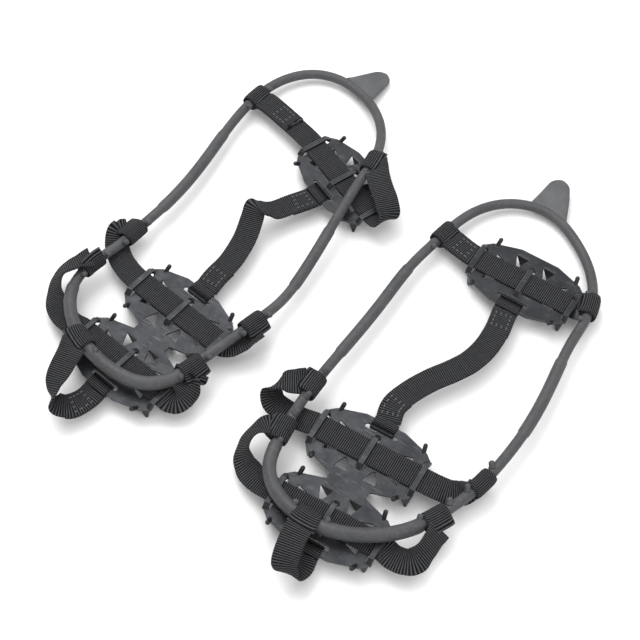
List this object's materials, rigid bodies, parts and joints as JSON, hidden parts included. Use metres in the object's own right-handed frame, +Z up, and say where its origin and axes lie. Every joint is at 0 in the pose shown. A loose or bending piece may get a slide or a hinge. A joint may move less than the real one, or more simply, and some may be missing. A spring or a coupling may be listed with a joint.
{
  "type": "shoe ice cleats",
  "caption": "Pair of strap-on shoe ice cleats: stretch rubber rings carry toothed steel plates on webbing straps under forefoot and heel.",
  "frame": {"origin": "middle of the pair's footprint, on the ground under the tooth tips", "axes": "+X across both shoes, from the left cleat to the right cleat of the picture, +Y from toes to heels, +Z up, shoe side up"},
  "size_m": [0.2973, 0.3408, 0.0283],
  "materials": {
    "rubber": "matte",
    "steel": "satin dark coating",
    "webbing": "ribbed flat webbing",
    "thread": "twisted thread"
  },
  "bodies": {
    "right_toe_half": {"right_ring_toe": "rubber", "right_forefoot_plate": "steel", "right_rear_strap": "webbing", "right_front_strap": "webbing", "right_toe_strap": "webbing", "right_link_strap_toe": "webbing", "right_stitching_link": "thread"},
    "right_heel_half": {"right_ring_heel": "rubber", "right_heel_plate": "steel", "right_heel_strap": "webbing", "right_link_strap_heel": "webbing", "right_stitching_link_heel": "thread", "right_stitching_heel": "thread"},
    "right_tab": {"right_pull_tab": "rubber"},
    "left_toe_half": {"left_ring_toe": "rubber", "left_forefoot_plate": "steel", "left_rear_strap": "webbing", "left_front_strap": "webbing", "left_toe_strap": "webbing", "left_link_strap_toe": "webbing", "left_stitching_link": "thread", "left_stitching_toe": "thread"},
    "left_heel_half": {"left_ring_heel": "rubber", "left_heel_plate": "steel", "left_heel_strap": "webbing", "left_link_strap_heel": "webbing", "left_stitching_link_heel": "thread", "left_stitching_heel": "thread"},
    "left_tab": {"left_pull_tab": "rubber"}
  },
  "joints": [
    {"name": "left_lift", "type": "slide", "parent": "right_toe_half", "child": "left_toe_half", "axis": [0, 0, 1], "range_m": [0, 0.15]},
    {"name": "right_fold", "type": "hinge", "parent": "right_toe_half", "child": "right_heel_half", "pos_m": [0.0778, -0.0006, 0.016], "axis": [1, 0, 0], "range_deg": [0, 120], "stiffness_Nm_per_rad": 0.01},
    {"name": "right_tab_flex", "type": "hinge", "parent": "right_heel_half", "child": "right_tab", "pos_m": [0.0838, 0.1239, 0.006], "axis": [0.9877, 0.1564, 0], "range_deg": [-30, 18], "stiffness_Nm_per_rad": 0.02},
    {"name": "left_fold", "type": "hinge", "parent": "left_toe_half", "child": "left_heel_half", "pos_m": [-0.06397, -0.00941, 0.016], "axis": [0.996, -0.0889, 0], "range_deg": [0, 120], "stiffness_Nm_per_rad": 0.01},
    {"name": "left_tab_flex", "type": "hinge", "parent": "left_heel_half", "child": "left_tab", "pos_m": [-0.07074, 0.1442, 0.0074], "axis": [0.9558, -0.294, 0], "range_deg": [-30, 18], "stiffness_Nm_per_rad": 0.02}
  ]
}
